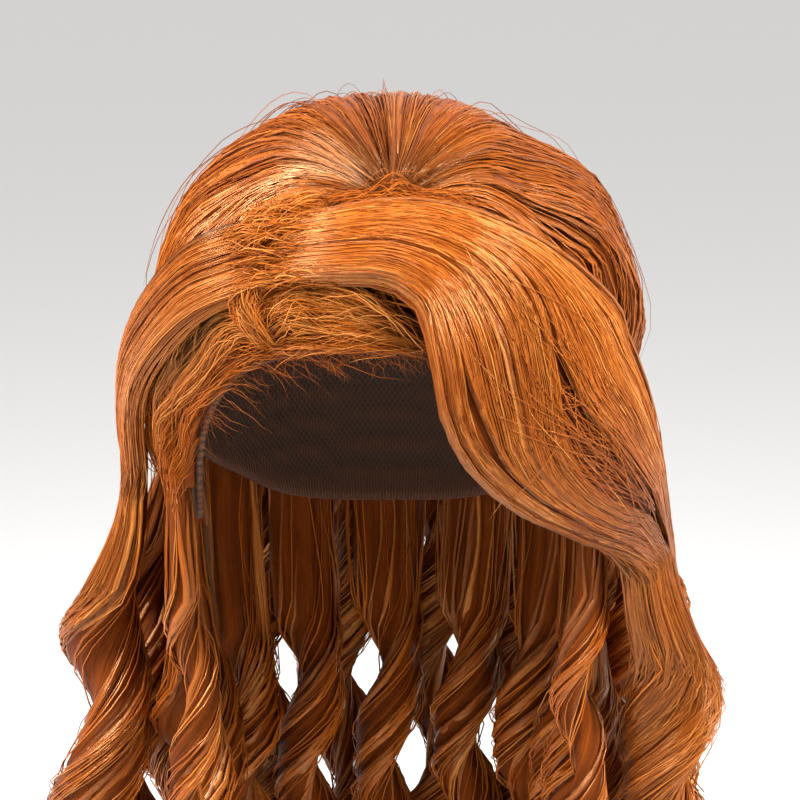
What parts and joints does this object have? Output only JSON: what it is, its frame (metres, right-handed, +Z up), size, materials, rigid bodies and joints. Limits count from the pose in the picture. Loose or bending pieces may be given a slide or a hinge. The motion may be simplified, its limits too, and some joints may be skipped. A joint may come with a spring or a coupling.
{
  "type": "wig",
  "caption": "Long curly wig on a net cap: a raised side-swept fringe, teased hairline and loose corkscrew curls, held open in the form of a worn wig",
  "frame": {"origin": "the point inside the cap that the top of the wearer's head touches", "axes": "+Z up along the hanging curls, -Y the way the face looks, +X to the viewer's right"},
  "size_m": [0.2656, 0.271, 0.5666],
  "materials": {
    "hair": "copper red synthetic hair fibre with a soft sheen",
    "hair_under": "the same fibre, duller and in shade under the top locks",
    "cap_net": "matt dark brown stretch net"
  },
  "bodies": {
    "root": {"cap": "cap_net", "crown_hair": "hair", "hairline_left": "hair_under", "hairline_centre": "hair_under", "hairline_right": "hair_under", "fringe_swoop": "hair", "left_sweep": "hair", "temple_curl_left": "hair", "temple_curl_right": "hair", "back_curl_01": "hair", "back_curl_02": "hair", "back_curl_03": "hair", "back_curl_04": "hair", "back_curl_05": "hair", "back_curl_06": "hair", "back_curl_07": "hair", "back_curl_08": "hair", "nape_curl_01": "hair_under", "nape_curl_02": "hair_under", "nape_curl_03": "hair_under", "nape_curl_04": "hair_under", "nape_curl_05": "hair_under", "nape_curl_06": "hair_under", "nape_curl_07": "hair_under", "nape_curl_08": "hair_under", "nape_curl_09": "hair_under"}
  },
  "joints": []
}
